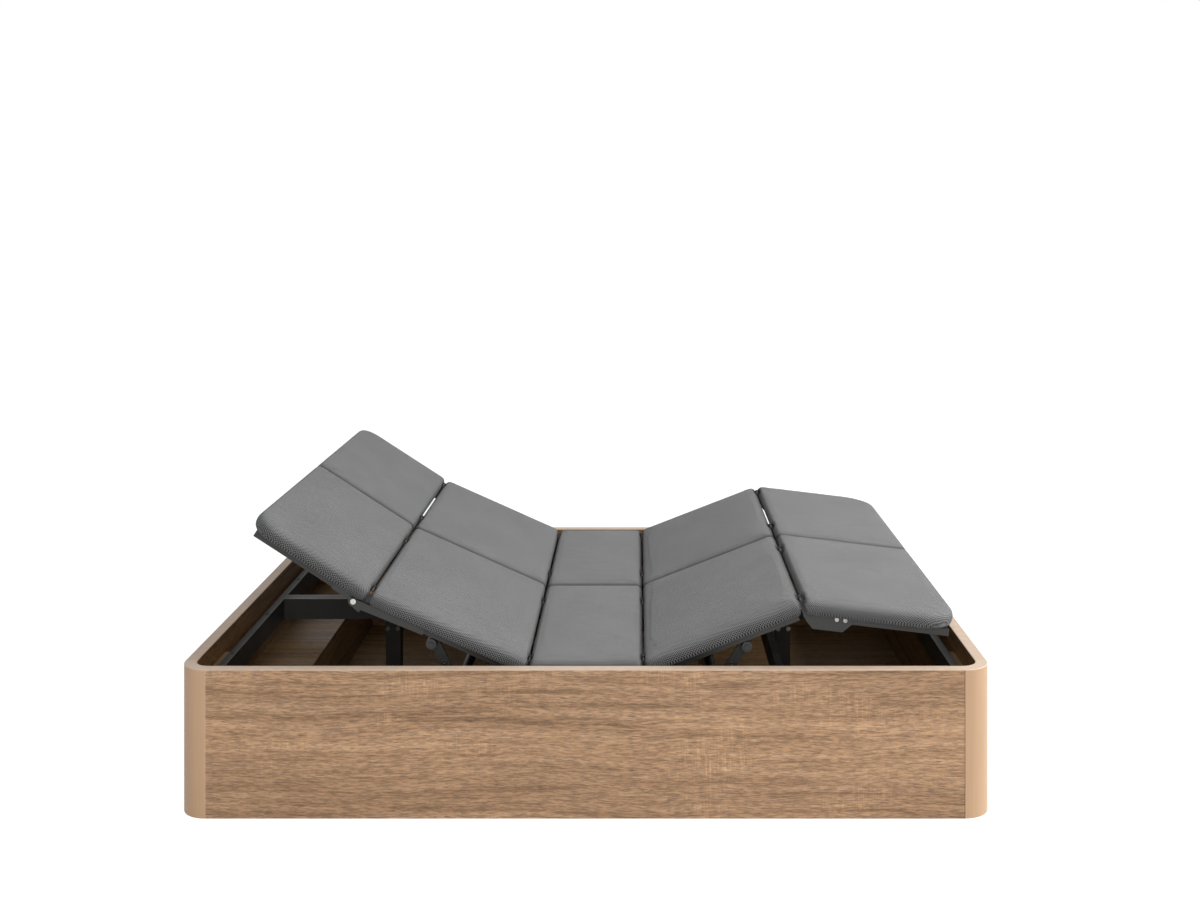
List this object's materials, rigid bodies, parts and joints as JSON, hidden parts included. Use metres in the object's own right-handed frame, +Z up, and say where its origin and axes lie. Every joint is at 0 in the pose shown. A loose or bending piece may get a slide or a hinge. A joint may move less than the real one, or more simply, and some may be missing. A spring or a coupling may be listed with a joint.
{
  "type": "adjustable storage bed base",
  "caption": "Adjustable bed platform with upholstered head, back, seat, thigh and leg sections on a steel chassis, set inside an oak storage box with rounded corner posts.",
  "frame": {"origin": "on the ground under the middle of the box", "axes": "+X from the head end to the foot end, +Y from the front side to the rear side, +Z up"},
  "size_m": [1.99, 1.44, 0.7205],
  "materials": {
    "oak_panel": "oak-grain laminate, satin",
    "oak_post": "plain wood-tone laminate, satin",
    "oak_lining": "oak-grain laminate, satin",
    "pine_batten": "sawn",
    "plywood": "sanded",
    "graphite_steel": "fine powder coat",
    "zinc_steel": "zinc plated",
    "nylon": "moulded",
    "grey_fabric": "fine woven upholstery",
    "drive_aluminium": "drawn",
    "drive_plastic": "moulded"
  },
  "bodies": {
    "base": {"front_panel": "oak_panel", "rear_panel": "oak_panel", "head_panel": "oak_panel", "foot_panel": "oak_panel", "corner_post_front_head": "oak_post", "corner_post_rear_head": "oak_post", "corner_post_front_foot": "oak_post", "corner_post_rear_foot": "oak_post", "floor_boards": "oak_lining", "floor_bearers": "pine_batten", "ledge_top": "oak_lining", "ledge_riser": "oak_lining", "chassis_end_rails": "graphite_steel", "chassis_side_rails": "graphite_steel", "chassis_twin_beam": "graphite_steel", "chassis_cross_rails": "graphite_steel", "chassis_packers": "pine_batten", "beam_legs": "graphite_steel", "beam_leg_bolts": "zinc_steel", "shaft_bushes": "nylon", "seat_frame": "graphite_steel", "seat_boards": "plywood", "seat_pad_front": "grey_fabric", "seat_pad_rear": "grey_fabric", "seat_hinge_pins": "zinc_steel", "drive_saddles": "graphite_steel", "drive_tubes": "drive_aluminium", "drive_housings": "drive_plastic", "control_unit": "drive_plastic", "link_foot_pins": "zinc_steel"},
    "back": {"back_frame": "graphite_steel", "back_boards": "plywood", "back_pad_front": "grey_fabric", "back_pad_rear": "grey_fabric", "head_hinge_pins": "zinc_steel", "ratchet_plates": "graphite_steel", "ratchet_stop_pins": "zinc_steel"},
    "head": {"head_frame": "graphite_steel", "head_boards": "plywood", "head_pad_front": "grey_fabric", "head_pad_rear": "grey_fabric", "ratchet_arms": "graphite_steel"},
    "thigh": {"thigh_frame": "graphite_steel", "thigh_boards": "plywood", "thigh_pad_front": "grey_fabric", "thigh_pad_rear": "grey_fabric", "knee_pins": "zinc_steel"},
    "leg": {"leg_frame": "graphite_steel", "leg_boards": "plywood", "leg_pad_front": "grey_fabric", "leg_pad_rear": "grey_fabric", "knee_plates": "graphite_steel", "link_head_pins": "zinc_steel"},
    "leg_link": {"leg_links": "graphite_steel"},
    "back_shaft": {"back_lift_shaft": "graphite_steel", "back_lift_shoes": "nylon"},
    "thigh_shaft": {"thigh_lift_shaft": "graphite_steel", "thigh_lift_shoes": "nylon"},
    "back_rod": {"back_push_rod": "zinc_steel"},
    "thigh_rod": {"thigh_push_rod": "zinc_steel"}
  },
  "joints": [
    {"name": "back_lift", "type": "hinge", "parent": "base", "child": "back", "pos_m": [-0.14275, 0, 0.353], "axis": [0, 1, 0], "range_deg": [-24, 31]},
    {"name": "head_tilt", "type": "hinge", "parent": "back", "child": "head", "pos_m": [-0.53558, 0, 0.5279], "axis": [0, 1, 0], "range_deg": [-8.9, 21.1]},
    {"name": "thigh_lift", "type": "hinge", "parent": "base", "child": "thigh", "pos_m": [0.14275, 0, 0.353], "axis": [0, -1, 0], "range_deg": [-21.1, 13.9]},
    {"name": "leg_fold", "type": "hinge", "parent": "thigh", "child": "leg", "pos_m": [0.53588, 0, 0.50363], "axis": [0, 1, 0], "range_deg": [-27.95, 18.43]},
    {"name": "leg_link_swing", "type": "hinge", "parent": "base", "child": "leg_link", "pos_m": [0.52, 0, 0.3], "axis": [0, -1, 0], "range_deg": [-26.68, 17.59]},
    {"name": "back_shaft_turn", "type": "hinge", "parent": "base", "child": "back_shaft", "pos_m": [-0.32275, 0, 0.27], "axis": [0, 1, 0], "range_deg": [-52.61, 67.94]},
    {"name": "thigh_shaft_turn", "type": "hinge", "parent": "base", "child": "thigh_shaft", "pos_m": [0.32075, 0, 0.27], "axis": [0, -1, 0], "range_deg": [-46.01, 30.32]},
    {"name": "back_rod_slide", "type": "slide", "parent": "base", "child": "back_rod", "axis": [-1, 0, 0], "range_m": [-0.04392, 0.05669]},
    {"name": "thigh_rod_slide", "type": "slide", "parent": "base", "child": "thigh_rod", "axis": [1, 0, 0], "range_m": [-0.04204, 0.02773]}
  ],
  "couplings": [
    {"joint": "leg_fold", "follows": "thigh_lift", "ratio": 1.3223},
    {"joint": "leg_link_swing", "follows": "thigh_lift", "ratio": 1.262},
    {"joint": "back_shaft_turn", "follows": "back_lift", "ratio": 2.19},
    {"joint": "thigh_shaft_turn", "follows": "thigh_lift", "ratio": 2.178},
    {"joint": "back_rod_slide", "follows": "back_lift", "m_per_rad": 0.1046},
    {"joint": "thigh_rod_slide", "follows": "thigh_lift", "m_per_rad": 0.1139}
  ]
}
